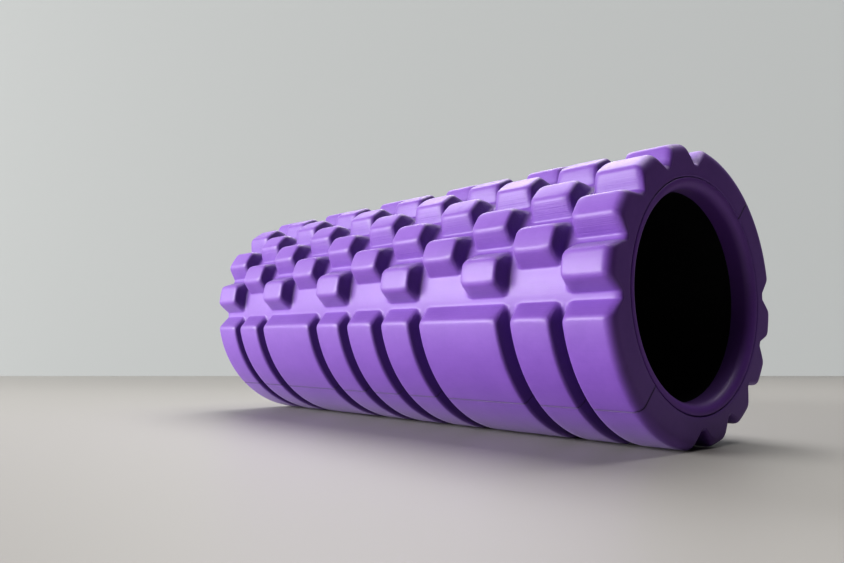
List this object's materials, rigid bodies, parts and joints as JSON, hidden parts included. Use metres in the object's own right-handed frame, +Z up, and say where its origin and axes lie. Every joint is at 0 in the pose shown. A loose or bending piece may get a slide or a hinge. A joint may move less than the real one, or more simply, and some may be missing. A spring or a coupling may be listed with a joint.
{
  "type": "foam roller",
  "caption": "Hollow foam massage roller: a rigid black core tube in a purple sleeve with block and band treads and rounded end rings.",
  "frame": {"origin": "on the floor, below the middle of the roller as it lies on its side", "axes": "+X along the roller's axis, +Z up"},
  "size_m": [0.332, 0.1374, 0.137],
  "materials": {
    "foam": "matte moulded closed-cell EVA foam with a fine skin",
    "end_ring_foam": "matte closed-cell EVA foam",
    "core_plastic": "satin extruded black plastic"
  },
  "bodies": {
    "root": {"foam_shell_upper": "foam", "foam_shell_lower": "foam", "end_ring_near": "end_ring_foam", "end_ring_far": "end_ring_foam", "core_tube": "core_plastic"}
  },
  "joints": []
}
